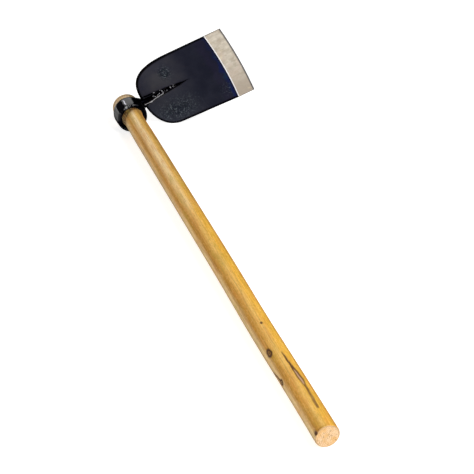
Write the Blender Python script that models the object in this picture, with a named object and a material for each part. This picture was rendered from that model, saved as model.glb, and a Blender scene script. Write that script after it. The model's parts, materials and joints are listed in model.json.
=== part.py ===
"""Grub hoe: a slip-fit wooden handle through the round, tapered eye of a steel head.

Metres, +Z up, origin on the floor below the middle of the hoe. The hoe lies as it
comes to rest: on the side of its collar, one back corner of its blade and the rim of
its butt, with the cutting edge raised.

Every piece is first built in the tool's own frame: origin on the handle's axis at the
collar's lower rim, +Y along the handle towards its flared top, +X towards the cutting
edge, +Z across the blade. One empty then lays the whole tool down.
"""

import math

import bmesh
import bpy
from mathutils import Matrix, Vector

GAP = 0.0003  # left between pieces that touch

# Handle: a straight round pole, flared where it jams in the eye.
BUTT_Y = -1.040
TOP_Y = 0.0525
BUTT_RADIUS = 0.0193
SHAFT_RADIUS = 0.0185
BUTT_SWELL = 0.500  # length over which the pole thickens towards its butt
FLARE_START_Y = -0.012
TOP_RADIUS = 0.0253
BUTT_ROUNDING = 0.0020
TOP_ROUNDING = 0.0015

# Eye collar: a barrel-shaped ring with a tapered hole, wider at the top.
COLLAR_HEIGHT = 0.0315
EYE_RADIUS_LOW = 0.0208
EYE_RADIUS_TOP = 0.0246
COLLAR_RADIUS_LOW = 0.0274
COLLAR_RADIUS_TOP = 0.0288
COLLAR_BULGE = 0.0023

# Blade: distances run from the handle's axis along the blade's inner face.
BLADE_LEAN = math.radians(15.5)  # away from square, towards the butt
BLADE_FACE_Y = 0.0362  # where the plane of the inner face meets the handle's axis
BLADE_THICKNESS = 0.0035
BLADE_BACK = 0.0330
BLADE_REACH = 0.2336  # to the corners of the cutting edge
EDGE_BULGE = 0.0032  # how far the middle of the cutting edge runs past its corners
EDGE_THICKNESS = 0.0008
EDGE_HALF_WIDTH = 0.0762
UPPER_SHOULDER = (0.1340, 0.0747)  # where the upper side begins, and its half width
LOWER_SHOULDER = (0.0830, 0.0747)
CORNER_SQUARENESS = (3.0, 2.3)  # upper and lower; 2 would make a quarter ellipse
BEVEL_START = 0.2000
BEVEL_START_BULGE = 0.0040

# Tang: a forged rib down the blade, a little out of square as a hand forging is.
TANG_START = 0.0300
TANG_END = 0.1370
TANG_HALF_WIDTHS = (0.0062, 0.0010)
TANG_HEIGHTS = (0.0112, 0.0009)
TANG_OFFSET = 0.0002
TANG_SKEW = math.radians(4.1)
NECK_END = BLADE_BACK - 1.5 * GAP

# Weld beads: two along the tang, and one across the joint at its root, on the far face.
SIDE_WELD_SPAN = (0.0380, 0.1180)
SIDE_WELD_LEGS = (0.0030, 0.0010)
ROOT_WELD_HALF_LENGTH = 0.0080
ROOT_WELD_HALF_WIDTH = 0.0022
ROOT_WELD_HEIGHT = 0.0015

TURNED_SEGMENTS = 64


def clear_scene():
    for thing in list(bpy.data.objects):
        bpy.data.objects.remove(thing, do_unlink=True)


def make_material(name, colour, roughness, metallic):
    material = bpy.data.materials.new(name)
    material.use_nodes = True
    shader = material.node_tree.nodes["Principled BSDF"]
    shader.inputs["Base Color"].default_value = (*colour, 1.0)
    shader.inputs["Roughness"].default_value = roughness
    shader.inputs["Metallic"].default_value = metallic
    return material


def add_object(name, mesh, parent, material=None, sharp_angle=math.radians(30)):
    piece = bpy.data.objects.new(name, mesh)
    bpy.context.collection.objects.link(piece)
    piece.parent = parent
    if material:
        mesh.materials.append(material)
    mesh.shade_smooth()
    mesh.set_sharp_from_angle(angle=sharp_angle)
    return piece


def add_empty(name, parent=None):
    empty = bpy.data.objects.new(name, None)
    bpy.context.collection.objects.link(empty)
    empty.parent = parent
    return empty


def mesh_from(name, form):
    bmesh.ops.recalc_face_normals(form, faces=form.faces)
    mesh = bpy.data.meshes.new(name)
    form.to_mesh(mesh)
    form.free()
    return mesh


def ease(share):
    """Smooth step from 0 to 1."""
    share = min(max(share, 0.0), 1.0)
    return share * share * (3.0 - 2.0 * share)


def between(pair, share):
    return pair[0] + (pair[1] - pair[0]) * share


def rounded(corners, steps=4):
    """Polyline through (x, y, radius) corners, each radius turned into an arc's points."""
    points = [corners[0][:2]]
    for before, corner, after in zip(corners, corners[1:], corners[2:]):
        here = Vector(corner[:2])
        if corner[2] == 0.0:
            points.append(tuple(here))
            continue
        back = (Vector(before[:2]) - here).normalized()
        ahead = (Vector(after[:2]) - here).normalized()
        half_turn = back.angle(ahead) / 2.0
        reach = corner[2] / math.tan(half_turn)
        centre = here + (back + ahead).normalized() * (corner[2] / math.sin(half_turn))
        start = here + back * reach - centre
        end = here + ahead * reach - centre
        sweep = start.angle_signed(end)
        for step in range(steps + 1):
            turn = -sweep * step / steps
            cos, sin = math.cos(turn), math.sin(turn)
            points.append(
                (
                    centre.x + start.x * cos - start.y * sin,
                    centre.y + start.x * sin + start.y * cos,
                )
            )
    points.append(corners[-1][:2])
    return points


def turned(name, outline, closed):
    """Solid turned about the Y axis from (radius, y) points."""
    form = bmesh.new()
    ring = [form.verts.new((radius, y, 0.0)) for radius, y in outline]
    edges = [form.edges.new(pair) for pair in zip(ring, ring[1:])]
    if closed:
        edges.append(form.edges.new((ring[-1], ring[0])))
    bmesh.ops.spin(
        form,
        geom=ring + edges,
        cent=(0.0, 0.0, 0.0),
        axis=(0.0, 1.0, 0.0),
        angle=math.tau,
        steps=TURNED_SEGMENTS,
        use_merge=True,
    )
    bmesh.ops.remove_doubles(form, verts=form.verts, dist=1e-6)
    return mesh_from(name, form)


def lofted(name, rings):
    """Closed solid through rings of equally many points, with flat ends."""
    form = bmesh.new()
    rows = [[form.verts.new(point) for point in ring] for ring in rings]
    count = len(rows[0])
    for row, following in zip(rows, rows[1:]):
        for i in range(count):
            j = (i + 1) % count
            form.faces.new((row[i], row[j], following[j], following[i]))
    form.faces.new(rows[0][::-1])
    form.faces.new(rows[-1])
    return mesh_from(name, form)


def shaft_radius(y):
    """Radius of the pole below its flare."""
    share = (BUTT_Y + BUTT_SWELL - y) / BUTT_SWELL
    return between((SHAFT_RADIUS, BUTT_RADIUS), ease(share))


def handle_mesh():
    corners = [(0.0, BUTT_Y, 0.0), (BUTT_RADIUS, BUTT_Y, BUTT_ROUNDING)]
    stations = 12
    for i in range(1, stations):
        y = BUTT_Y + (FLARE_START_Y - BUTT_Y) * i / stations
        corners.append((shaft_radius(y), y, 0.0))
    corners.append((SHAFT_RADIUS, FLARE_START_Y, 0.040))
    corners.append((EYE_RADIUS_TOP - GAP, COLLAR_HEIGHT, 0.020))
    corners.append((TOP_RADIUS, TOP_Y, TOP_ROUNDING))
    corners.append((0.0, TOP_Y, 0.0))
    return turned("handle", rounded(corners), closed=False)


def collar_radius(y):
    """Outer radius of the barrel at a height above its lower rim."""
    share = y / COLLAR_HEIGHT
    bulge = COLLAR_BULGE * 4.0 * share * (1.0 - share)
    return between((COLLAR_RADIUS_LOW, COLLAR_RADIUS_TOP), share) + bulge


def collar_mesh():
    low_rounding = 0.0040
    top_rounding = 0.0025
    eye_rounding = 0.0012
    middle = (EYE_RADIUS_LOW + EYE_RADIUS_TOP) / 2.0
    corners = [
        (middle, COLLAR_HEIGHT / 2.0, 0.0),
        (EYE_RADIUS_LOW, 0.0, eye_rounding),
        (COLLAR_RADIUS_LOW, 0.0, low_rounding),
    ]
    bands = 7
    for i in range(1, bands):
        y = COLLAR_HEIGHT * i / bands
        corners.append((collar_radius(y), y, 0.0))
    corners.append((COLLAR_RADIUS_TOP, COLLAR_HEIGHT, top_rounding))
    corners.append((EYE_RADIUS_TOP, COLLAR_HEIGHT, eye_rounding))
    corners.append((middle, COLLAR_HEIGHT / 2.0, 0.0))
    return turned("eye_collar", rounded(corners)[:-1], closed=True)


def on_blade(along, across, above):
    """Point by its distance along the inner face, across it, and above it towards the butt."""
    cos, sin = math.cos(BLADE_LEAN), math.sin(BLADE_LEAN)
    return Vector(
        (along * cos - above * sin, BLADE_FACE_Y - along * sin - above * cos, across)
    )


def arched_ring(low, high, across, half_width, steps=10):
    """Section of a rib: flat below, upright sides and a rounded crest above."""
    ring = []
    for step in range(steps + 1):
        turn = math.pi * step / steps
        sideways = math.copysign(abs(math.cos(turn)) ** 0.6, math.cos(turn))
        point = low.lerp(high, math.sin(turn) ** 0.6)
        ring.append(Vector((point.x, point.y, across + half_width * sideways)))
    return ring


def tang_centre(along):
    return TANG_OFFSET + (along - TANG_START) * math.tan(TANG_SKEW)


def tang_share(along):
    return (along - TANG_START) / (TANG_END - TANG_START)


def tang_half_width(along):
    return between(TANG_HALF_WIDTHS, tang_share(along))


def tang_height(along):
    return between(TANG_HEIGHTS, tang_share(along) ** 0.85)


def tang_mesh():
    rings = []
    stations = 14
    for i in range(stations + 1):
        along = between((TANG_START, TANG_END), i / stations)
        low = on_blade(along, 0.0, GAP)
        high = on_blade(along, 0.0, GAP + tang_height(along))
        rings.append(
            arched_ring(low, high, tang_centre(along), tang_half_width(along))
        )
    return lofted("tang_form", rings)


def neck_mesh():
    """Short root of the tang, from inside the collar's wall to the blade's back edge."""
    outer = -BLADE_THICKNESS + 0.0002
    sections = [
        (Vector((0.0268, 0.0306, 0.0)), Vector((0.0268, 0.0090, 0.0)), 0.0125),
        (Vector((0.0292, 0.0309, 0.0)), Vector((0.0280, 0.0140, 0.0)), 0.0103),
        (on_blade(NECK_END, 0.0, outer), on_blade(NECK_END, 0.0, 0.0100), 0.0090),
    ]
    centre = tang_centre(NECK_END)
    rings = [arched_ring(low, high, centre, width) for low, high, width in sections]
    return lofted("neck_form", rings)


def back_corner(shoulder, squareness, side, steps=18):
    """Points of one back corner, from its shoulder on the side to the middle of the back."""
    along_end, half_width = shoulder
    reach = along_end - BLADE_BACK
    power = 2.0 / squareness
    points = []
    for step in range(steps + 1):
        turn = math.pi / 2.0 * step / steps
        along = along_end - reach * math.sin(turn) ** power
        across = half_width * math.cos(turn) ** power if step < steps else 0.0
        points.append((along, side * across))
    return points


def side_half_width(shoulder, along):
    """Half width of the blade on its straight side."""
    share = (along - shoulder[0]) / (BLADE_REACH - shoulder[0])
    return between((shoulder[1], EDGE_HALF_WIDTH), share)


def crosswise_arc(start, bulge, half_widths, steps=14):
    """Shallow arc across the blade, from its lower side to its upper side."""
    points = []
    for step in range(steps + 1):
        share = 2.0 * step / steps - 1.0
        across = between((-half_widths[0], half_widths[1]), step / steps)
        points.append((start + bulge * (1.0 - share * share), across))
    return points


def blade_mesh():
    bevel_halves = [
        side_half_width(shoulder, BEVEL_START)
        for shoulder in (LOWER_SHOULDER, UPPER_SHOULDER)
    ]
    bevel = crosswise_arc(BEVEL_START, BEVEL_START_BULGE, bevel_halves)
    edge = crosswise_arc(BLADE_REACH, EDGE_BULGE, (EDGE_HALF_WIDTH,) * 2)
    back = back_corner(UPPER_SHOULDER, CORNER_SQUARENESS[0], 1.0)
    back += back_corner(LOWER_SHOULDER, CORNER_SQUARENESS[1], -1.0)[-2::-1]

    form = bmesh.new()

    def verts(points, above):
        return [form.verts.new(on_blade(*point, above)) for point in points]

    back_inner, back_outer = verts(back, 0.0), verts(back, -BLADE_THICKNESS)
    bevel_inner = verts(bevel, 0.0)
    bevel_ends = verts((bevel[0], bevel[-1]), -BLADE_THICKNESS)
    edge_inner = verts(edge, EDGE_THICKNESS - BLADE_THICKNESS)
    edge_outer = verts(edge, -BLADE_THICKNESS)

    form.faces.new(back_inner + bevel_inner)
    form.faces.new([bevel_ends[0], *edge_outer, bevel_ends[1], *back_outer])
    for i in range(len(back) - 1):
        form.faces.new(
            (back_inner[i], back_inner[i + 1], back_outer[i + 1], back_outer[i])
        )
    for i in range(len(edge) - 1):
        form.faces.new(
            (bevel_inner[i], bevel_inner[i + 1], edge_inner[i + 1], edge_inner[i])
        )
        form.faces.new(
            (edge_inner[i], edge_inner[i + 1], edge_outer[i + 1], edge_outer[i])
        )
    for end, corner in ((0, -1), (-1, 0)):
        form.faces.new(
            (back_inner[corner], bevel_inner[end], bevel_ends[end], back_outer[corner])
        )
        form.faces.new(
            (bevel_inner[end], edge_inner[end], edge_outer[end], bevel_ends[end])
        )
    return mesh_from("blade", form)


def side_weld_mesh(name, side):
    """Fillet in the corner between the blade's inner face and one side of the tang."""
    rings = []
    stations = 16
    for i in range(stations + 1):
        along = between(SIDE_WELD_SPAN, i / stations)
        end_taper = min(1.0, 0.35 + 3.0 * math.sin(math.pi * i / stations))
        leg = between(SIDE_WELD_LEGS, i / stations) * end_taper
        wall = tang_centre(along) + side * (tang_half_width(along) + GAP)
        height = min(leg, tang_height(along))
        ring = [on_blade(along, wall, GAP)]
        for turn in (0.0, 22.5, 45.0, 67.5, 90.0):
            angle = math.radians(turn)
            out = side * leg * math.cos(angle)
            ring.append(on_blade(along, wall + out, GAP + height * math.sin(angle)))
        rings.append(ring)
    return lofted(name, rings)


def root_weld_mesh():
    """Low bead over the joint between the neck and the blade's back edge."""
    rings = []
    stations = 10
    middle = (NECK_END + BLADE_BACK) / 2.0
    for i in range(stations + 1):
        share = i / stations
        across = tang_centre(NECK_END) + ROOT_WELD_HALF_LENGTH * (2.0 * share - 1.0)
        fullness = 0.35 + 0.65 * math.sin(math.pi * share)
        ring = []
        for turn in range(0, 181, 30):
            angle = math.radians(turn)
            along = middle + ROOT_WELD_HALF_WIDTH * fullness * math.cos(angle)
            rise = ROOT_WELD_HEIGHT * fullness * math.sin(angle)
            ring.append(on_blade(along, across, -BLADE_THICKNESS - GAP - rise))
        rings.append(ring)
    return lofted("weld_bead_root", rings)


def add_union(piece, form):
    """Joins a hidden form to a piece."""
    form.hide_render = True
    form.display_type = "WIRE"
    union = piece.modifiers.new(form.name, "BOOLEAN")
    union.operation = "UNION"
    union.solver = "EXACT"
    union.object = form


def lay_down(frame, head, handle):
    """Turns and places the tool's frame so that the hoe rests on the floor."""

    def points(piece):
        return [vertex.co for vertex in piece.data.vertices]

    def lowest(cloud, turn):
        return min((turn @ point).z for point in cloud)

    collar, blade = (points(piece) for piece in head)
    shaft = points(handle)
    drop = COLLAR_RADIUS_LOW + COLLAR_BULGE - BUTT_RADIUS
    pitch = math.asin(drop / (COLLAR_HEIGHT / 2.0 - BUTT_Y))
    tilt = Matrix.Rotation(pitch, 3, "X")
    least_roll, most_roll = 0.0, math.radians(60.0)
    for _ in range(40):
        roll = (least_roll + most_roll) / 2.0
        turn = tilt @ Matrix.Rotation(-roll, 3, "Y")
        if lowest(blade, turn) < lowest(collar, turn):
            least_roll = roll
        else:
            most_roll = roll
    placed = [turn @ point for cloud in (collar, blade, shaft) for point in cloud]
    lows, highs = ([pick(p[i] for p in placed) for i in range(3)] for pick in (min, max))
    shift = Vector((-(lows[0] + highs[0]) / 2.0, -(lows[1] + highs[1]) / 2.0, -lows[2]))
    frame.matrix_world = Matrix.Translation(shift) @ turn.to_4x4()


def main():
    clear_scene()
    wood = make_material("oiled_hardwood", (0.72, 0.47, 0.17), 0.45, 0.0)
    gloss = make_material("glossy_black_forging", (0.012, 0.012, 0.018), 0.22, 0.3)
    satin = make_material("satin_blue_black_steel", (0.045, 0.050, 0.062), 0.42, 0.6)
    bead = make_material("painted_weld", (0.020, 0.020, 0.026), 0.28, 0.3)

    lying_tool = add_empty("lying_tool")
    handle = add_object("handle", handle_mesh(), lying_tool, wood)
    head = add_empty("head", lying_tool)
    collar = add_object("eye_collar", collar_mesh(), head, gloss)
    add_union(collar, add_object("neck_form", neck_mesh(), head))
    add_union(collar, add_object("tang_form", tang_mesh(), head))
    blade = add_object("blade", blade_mesh(), head, satin, math.radians(4))
    for name, side in (("weld_bead_upper", 1.0), ("weld_bead_lower", -1.0)):
        add_object(name, side_weld_mesh(name, side), head, bead)
    add_object("weld_bead_root", root_weld_mesh(), head, bead)
    lay_down(lying_tool, (collar, blade), handle)


main()
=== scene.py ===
"""Looks of the grub hoe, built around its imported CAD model.

Every piece is shaped in the tool's own frame, in metres: origin on the handle's axis at
the collar's lower rim, +Y along the handle towards its flared top, +X towards the
cutting edge, +Z across the blade. Its points are then carried to the frame's place.
"""

import json
import math

import bpy
import numpy as np
from mathutils import Matrix, Vector


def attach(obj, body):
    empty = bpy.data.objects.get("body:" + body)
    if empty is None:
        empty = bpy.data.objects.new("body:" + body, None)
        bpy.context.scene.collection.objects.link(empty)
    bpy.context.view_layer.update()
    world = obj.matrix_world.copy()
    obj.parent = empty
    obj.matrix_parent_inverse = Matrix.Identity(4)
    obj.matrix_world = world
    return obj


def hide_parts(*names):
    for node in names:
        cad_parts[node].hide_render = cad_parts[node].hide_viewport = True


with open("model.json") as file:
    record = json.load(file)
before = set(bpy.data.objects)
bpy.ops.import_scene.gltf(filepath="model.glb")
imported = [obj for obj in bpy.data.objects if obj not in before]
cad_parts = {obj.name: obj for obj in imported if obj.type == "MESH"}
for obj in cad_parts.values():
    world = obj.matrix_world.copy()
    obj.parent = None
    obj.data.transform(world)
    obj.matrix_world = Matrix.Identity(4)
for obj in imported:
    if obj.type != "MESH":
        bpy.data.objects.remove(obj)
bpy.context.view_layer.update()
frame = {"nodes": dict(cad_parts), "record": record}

GAP = 0.0003  # between pieces that touch, as in the CAD model

# Handle, as in the CAD model, but a little fuller between the collar and its lower part.
BUTT_Y = -1.040
TOP_Y = 0.0525
BUTT_RADIUS = 0.0193
SHAFT_RADIUS = 0.0185
BUTT_SWELL = 0.500
FLARE_START_Y = -0.012
TOP_RADIUS = 0.0253
BUTT_ROUNDING = 0.0020
TOP_ROUNDING = 0.0015
POLE_FULLNESS = 0.0006

# Eye collar, as in the CAD model, but with a lower rim that drops further and slants.
COLLAR_HEIGHT = 0.0315
EYE_RADIUS_LOW = 0.0208
EYE_RADIUS_TOP = 0.0246
COLLAR_RADIUS_LOW = 0.0274
COLLAR_RADIUS_TOP = 0.0288
COLLAR_BULGE = 0.0023
RIM_DROP = 0.0045
RIM_SLANT = 0.0014
LOWER_RIM_ROUNDING = 0.0036
UPPER_RIM_ROUNDING = 0.0020
EYE_EDGE_ROUNDING = 0.0010

# Blade, as in the CAD model.
BLADE_LEAN = math.radians(15.5)
BLADE_FACE_Y = 0.0362
BLADE_THICKNESS = 0.0035
BLADE_BACK = 0.0330
BLADE_REACH = 0.2336
EDGE_BULGE = 0.0032
EDGE_THICKNESS = 0.0008
EDGE_HALF_WIDTH = 0.0762
UPPER_SHOULDER = (0.1340, 0.0747)
LOWER_SHOULDER = (0.0830, 0.0747)
CORNER_SQUARENESS = (3.0, 2.3)
BEVEL_START = 0.2000
BEVEL_START_BULGE = 0.0040
BEVEL_STEP = 0.00022  # where the grinding wheel first bit in
PLATE_ROUNDING = 0.0008

# Tang, wider than in the CAD model and with a bent centre line, and the weld beads.
TANG_START = 0.0300
TANG_END = 0.1370
TANG_HALF_WIDTHS = (0.0092, 0.0012)
TANG_HEIGHTS = (0.0112, 0.0009)
TANG_OFFSET = 0.0008
TANG_DRIFT = 0.0045
NECK_END = BLADE_BACK - 1.5 * GAP
NECK_LOW_Y = 0.0307
NECK_REACH = (0.0215, 0.0335)
NECK_FILLET = 0.0020
COLLAR_FILLET = 0.0045
SCRAWL_HEIGHT = 0.0007
SIDE_WELD_SPAN = (0.0380, 0.1180)
SIDE_WELD_LEGS = (0.0024, 0.0007)
SIDE_WELD_RIPPLE = 0.0031
ROOT_WELD_HALF_LENGTH = 0.0080
ROOT_WELD_HALF_WIDTH = 0.0022
ROOT_WELD_HEIGHT = 0.0015

# How finely the meshes are divided.
HANDLE_COLUMNS = 120
ROUNDING_RINGS = 6
END_RINGS = 16
FORGING_VOXEL = 0.0007
BLADE_COLUMNS = 151
BLADE_ROWS = 110
BEVEL_SHARES = (0.012, 0.024, 0.04, 0.06)  # close together where the bevel starts
BEVEL_ROWS = 24

# Camera, in the row frame.
CAMERA_TARGET = (-0.0335, 0.0635, -0.0013)
CAMERA_DISTANCE = 3.0
CAMERA_AZIMUTH = math.radians(-19.95)
CAMERA_ELEVATION = math.radians(29.31)
CAMERA_ROLL = math.radians(3.37)
CAMERA_LENS = 132.96


# -------- frame and numbers


def tool_matrix():
    """Tool frame to row frame, from the record's mounts and the blade's far face."""
    mounts = {mount["name"]: mount for mount in frame["record"]["mounts"]}
    head_end = Vector(mounts["head_end"]["pos_m"])
    along = (head_end - Vector(mounts["butt_end"]["pos_m"])).normalized()
    areas = {}
    for face in frame["nodes"]["blade"].data.polygons:
        if face.normal.dot(along) > 0.5:
            key = tuple(round(part, 3) for part in face.normal)
            total, summed = areas.get(key, (0.0, Vector()))
            areas[key] = (total + face.area, summed + face.normal * face.area)
    far_normal = max(areas.values(), key=lambda item: item[0])[1]
    across = far_normal.cross(along).normalized()
    outward = along.cross(across)
    origin = head_end - along * TOP_Y
    matrix = Matrix((outward, along, across)).transposed().to_4x4()
    matrix.translation = origin
    return matrix


def ease(share):
    share = np.clip(share, 0.0, 1.0)
    return share * share * (3.0 - 2.0 * share)


def between(pair, share):
    return pair[0] + (pair[1] - pair[0]) * share


def hump(value, centre, half_width):
    """Smooth hump of height 1 around a centre."""
    return np.exp(-(((value - centre) / half_width) ** 2))


def waves(seed, places, pitch, octaves=3):
    """Smooth, repeatable undulation of about -1 to 1 over an array of 3-D places."""
    rng = np.random.default_rng(seed)
    total = np.zeros(places.shape[:-1])
    strength = 1.0
    for _ in range(octaves):
        layer = np.zeros_like(total)
        for _ in range(6):
            heading = rng.normal(size=3)
            heading *= 2.0 * math.pi / pitch / np.linalg.norm(heading)
            layer += np.sin(places @ heading + rng.uniform(0.0, 2.0 * math.pi))
        total += strength * layer / 3.0
        strength *= 0.5
        pitch *= 0.5
    return total / 1.75


# -------- meshes

TOOL = tool_matrix()


def grid_quads(rows, columns, closed):
    """Quads of a rows x columns grid of points, closed round its columns or not."""
    first = np.arange(rows - 1)[:, None] * columns
    left = np.arange(columns if closed else columns - 1)[None, :]
    right = (left + 1) % columns
    quads = (first + left, first + right, first + columns + right, first + columns + left)
    return np.stack(quads, axis=-1).reshape(-1, 4)


def add_piece(name, points, faces, material, masks=None):
    """Mesh object from tool-frame points, which it also keeps as the attribute 'tool'."""
    points = np.asarray(points, float).reshape(-1, 3)
    turn = np.array(TOOL.to_3x3())
    placed = points @ turn.T + np.array(TOOL.translation)
    mesh = bpy.data.meshes.new(name)
    mesh.from_pydata(placed.tolist(), [], [list(map(int, face)) for face in faces])
    kept = mesh.attributes.new("tool", "FLOAT_VECTOR", "POINT")
    kept.data.foreach_set("vector", points.astype(np.float32).ravel())
    for mask, values in (masks or {}).items():
        layer = mesh.attributes.new(mask, "FLOAT", "POINT")
        layer.data.foreach_set("value", np.asarray(values, np.float32).ravel())
    mesh.materials.append(material)
    mesh.validate()
    mesh.shade_smooth()
    piece = bpy.data.objects.new(name, mesh)
    bpy.context.scene.collection.objects.link(piece)
    return piece


def add_tube(name, rings, inside_out, material, masks):
    """Closed piece from rings of points, with a flat face over each end."""
    count = rings.shape[1]
    last = (len(rings) - 1) * count
    faces = [tuple(quad) for quad in grid_quads(len(rings), count, True)]
    faces.append(tuple(reversed(range(count))))
    faces.append(tuple(range(last, last + count)))
    if inside_out:
        faces = [face[::-1] for face in faces]
    return add_piece(name, rings, faces, material, masks)


# -------- handle

# Knots: y, angle about the axis, half length, half width, swelling.
KNOTS = (
    (-0.8360, 115.0, 0.0095, 0.0043, 0.0005),
    (-0.9014, 143.0, 0.0062, 0.0036, 0.0006),
    (-0.7637, 72.6, 0.0026, 0.0019, 0.0001),
    (-0.3100, 250.0, 0.0085, 0.0050, 0.0005),
    (-0.6120, 318.0, 0.0060, 0.0036, 0.0004),
)
# Bark seam: y, angle and half width where its line bends.
SEAM = (
    (-0.8430, 65.5, 0.0007),
    (-0.8822, 60.5, 0.0013),
    (-0.9081, 56.5, 0.0024),
    (-0.9215, 53.0, 0.0030),
    (-0.9400, 53.0, 0.0014),
    (-0.9700, 54.5, 0.0018),
    (-0.9990, 58.0, 0.0015),
)
SEAM_DEPTH = 0.0009
CRACK_DEPTH = 0.0005
KNOT_DEPTH = 0.00022
HEWN_DEPTH = 0.00014  # of the slow waves that working by hand leaves
# Crack: y and angle where its line bends.
CRACK = ((-0.8560, 172.0), (-0.8815, 152.0), (-0.8990, 143.0))
# The pole bows a little to one side here.
BOW_Y = -0.750
BOW_HALF_LENGTH = 0.130
BOW = 0.0012
NICK_ANGLE = math.radians(128.0)
NICK_DEPTH = 0.0016
RIM_SHADOW_ANGLE = math.radians(105.0)


def shaft_radius(y):
    swell = ease((BUTT_Y + BUTT_SWELL - y) / BUTT_SWELL)
    pole = between((SHAFT_RADIUS, BUTT_RADIUS), swell)
    bends = (FLARE_START_Y, COLLAR_HEIGHT, TOP_Y, TOP_Y + 0.02)
    slope = (TOP_RADIUS - EYE_RADIUS_TOP + GAP) / (TOP_Y - COLLAR_HEIGHT)
    radii = (0.0, EYE_RADIUS_TOP - GAP - SHAFT_RADIUS, TOP_RADIUS - SHAFT_RADIUS)
    radii += (radii[-1] + slope * 0.02,)
    flare = sum(np.interp(y + shift, bends, radii) for shift in np.linspace(-0.008, 0.008, 9))
    return pole + flare / 9.0


def angle_apart(angle, centre):
    return (angle - centre + math.pi) % (2.0 * math.pi) - math.pi


def handle_stations():
    """Y of each ring along the side, closer together at the knots and from the eye up."""
    coarse, fine = 0.0030, 0.0010
    spots = [BUTT_Y + BUTT_ROUNDING]
    while spots[-1] < TOP_Y - TOP_ROUNDING:
        busy = spots[-1] < -0.740 or spots[-1] > -0.020
        spots.append(spots[-1] + (fine if busy else coarse))
    spots[-1] = TOP_Y - TOP_ROUNDING
    return np.array(spots)


def knot_fields(y, angle, radius):
    """Swelling of the surface, dark ring and core of every knot."""
    swelling = np.zeros_like(y)
    ring = np.zeros_like(y)
    for place, degrees, half_length, half_width, rise in KNOTS:
        sideways = angle_apart(angle, math.radians(degrees)) * radius
        wander = 0.06 * np.sin(3.0 * np.arctan2(sideways, y - place) + place * 40.0)
        reach = np.hypot((y - place) / half_length, sideways / half_width) + wander
        swelling += rise * hump(reach, 0.0, 2.4)
        ring = np.maximum(ring, hump(reach, 0.76, 0.34))
        ring = np.maximum(ring, hump(reach, 0.0, 0.30))
    return swelling, ring


def seam_fields(y, angle, radius):
    """Depth share, dark lips and pinkish floor of the bark seam."""
    bends = np.array(SEAM)[::-1]
    centre = np.radians(np.interp(y, bends[:, 0], bends[:, 1]))
    half = np.interp(y, bends[:, 0], bends[:, 2])
    inside = ease((y - bends[0, 0]) / 0.006) * ease((bends[-1, 0] - y) / 0.010)
    sideways = angle_apart(angle, centre) * radius + 0.0002 * np.sin(y * 290.0)
    reach = np.abs(sideways) / (half + 1e-6)
    depth = inside * np.exp(-(reach**4))
    lips = inside * np.exp(-(((reach - 0.95) / 0.55) ** 2))
    floor = inside * np.exp(-((reach / 0.55) ** 4)) * ease((half - 0.0016) / 0.0006)
    thin = inside * np.exp(-(reach**2)) * (1.0 - ease((half - 0.0016) / 0.0006))
    darkness = 0.70 + 0.30 * hump(y, -0.8950, 0.030)
    return depth, np.maximum(lips * 0.9, thin) * darkness, floor


def crack_field(y, angle, radius):
    bends = np.array(CRACK)[::-1]
    centre = np.radians(np.interp(y, bends[:, 0], bends[:, 1]))
    inside = ease((y - bends[0, 0]) / 0.004) * ease((bends[-1, 0] - y) / 0.006)
    return 1.3 * inside * hump(angle_apart(angle, centre) * radius, 0.0, 0.0013)


def pole_side():
    """Angles and ys of the side's grid, its radii, and its marks: knots, lips, seam, and a
    painted shadow line along the butt's rim.
    """
    ring_angle = np.linspace(0.0, 2.0 * math.pi, HANDLE_COLUMNS, endpoint=False)
    stations = handle_stations()
    y, angle = np.meshgrid(stations, ring_angle, indexing="ij")
    radius = shaft_radius(y)
    swelling, knot = knot_fields(y, angle, radius)
    depth, lips, seam_floor = seam_fields(y, angle, radius)
    crack = crack_field(y, angle, radius)
    loose = ease((-0.020 - y) / 0.030)
    axis_places = np.stack((np.cos(angle) * radius, y * 0.16, np.sin(angle) * radius), -1)
    hewn = waves(7, axis_places, 0.050, 2) * HEWN_DEPTH * loose
    fuller = POLE_FULLNESS * ease((-0.030 - y) / 0.060) * ease((y - BUTT_Y - 0.050) / 0.400)
    nick = hump(y, BUTT_Y, 0.0055) * hump(angle_apart(angle, NICK_ANGLE), 0.0, 0.15)
    surface = radius + fuller + swelling + hewn - depth * SEAM_DEPTH
    surface -= crack * CRACK_DEPTH + knot * KNOT_DEPTH + nick * NICK_DEPTH
    # Painted shadow: a thin dark line along part of the butt's rim, laid into the knot mask
    # together with the darkened nick.
    painted_rim_shadow = hump(y, BUTT_Y + 0.0022, 0.0013)
    painted_rim_shadow *= hump(angle_apart(angle, RIM_SHADOW_ANGLE), 0.0, 0.75)
    knot = np.maximum(knot, np.maximum(np.clip(1.8 * nick, 0.0, 1.0), 0.32 * painted_rim_shadow))
    return ring_angle, stations, surface, np.stack((knot, lips + crack, seam_floor), -1)


def end_rings(edge, end_y, rounding, sign):
    """Radii, ys and end-grain shares of the rings from a rounded edge to the middle."""
    radii, ys, shares = [], [], []
    for step in range(1, ROUNDING_RINGS + 1):
        turn = math.pi / 2.0 * step / ROUNDING_RINGS
        radii.append(edge - rounding * (1.0 - math.cos(turn)))
        ys.append(end_y + sign * rounding * (1.0 - math.sin(turn)))
        shares.append(float(ease((step / ROUNDING_RINGS - 0.35) / 0.5)))
    flat = radii[-1]
    for step in range(1, END_RINGS):
        radii.append(flat * (1.0 - step / END_RINGS))
        ys.append(end_y)
        shares.append(1.0)
    return radii, ys, shares


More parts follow.
